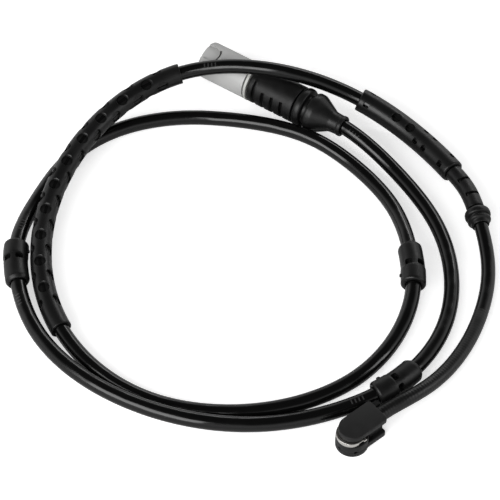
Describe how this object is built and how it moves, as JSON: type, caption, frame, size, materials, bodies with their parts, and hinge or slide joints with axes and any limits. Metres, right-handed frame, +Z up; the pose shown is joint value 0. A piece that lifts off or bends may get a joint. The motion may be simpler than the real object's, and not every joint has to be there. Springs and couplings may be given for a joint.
{
  "type": "brake pad wear sensor",
  "caption": "Brake pad wear sensor with a flat probe head, a long black cable lying in loops, guide sleeves, clips, a grommet and a round two-pole plug.",
  "frame": {"origin": "on the surface that the sensor lies on, under the middle of the box round the connector and the probe head", "axes": "+Z up from the surface, +Y from the probe head to the connector, across the loops of cable"},
  "size_m": [0.1589, 0.1677, 0.0192],
  "materials": {
    "grey_plug": "moulded, satin",
    "grey_insert": "moulded, matte",
    "pale_seal": "smooth",
    "orange_seal": "smooth",
    "tinned_terminal": "tinned",
    "core_insulation": "smooth",
    "copper_wire": "drawn",
    "spring_steel": "bright rolled",
    "black_body": "moulded, matte",
    "black_rubber": "moulded, matte",
    "black_sleeve": "extruded, matte",
    "cable_jacket": "extruded, glossy"
  },
  "bodies": {
    "root": {"plug_housing": "grey_plug", "terminal_carrier": "grey_insert", "terminal_1": "tinned_terminal", "terminal_2": "tinned_terminal", "core_wire_1": "core_insulation", "core_wire_2": "core_insulation", "rim_ring": "pale_seal", "connector_body": "black_body", "wire_seal": "orange_seal", "cable_boot": "black_rubber", "cable_jacket": "cable_jacket", "cable_clip_1": "black_rubber", "cable_clip_2": "black_rubber", "cable_clip_3": "black_rubber", "perforated_sleeve": "black_sleeve", "guide_sleeve": "black_sleeve", "bend_protector": "black_rubber", "grommet": "black_rubber", "head_body": "black_body", "head_cover": "black_body", "spring_clip": "spring_steel", "sensing_loop": "copper_wire"}
  },
  "joints": []
}
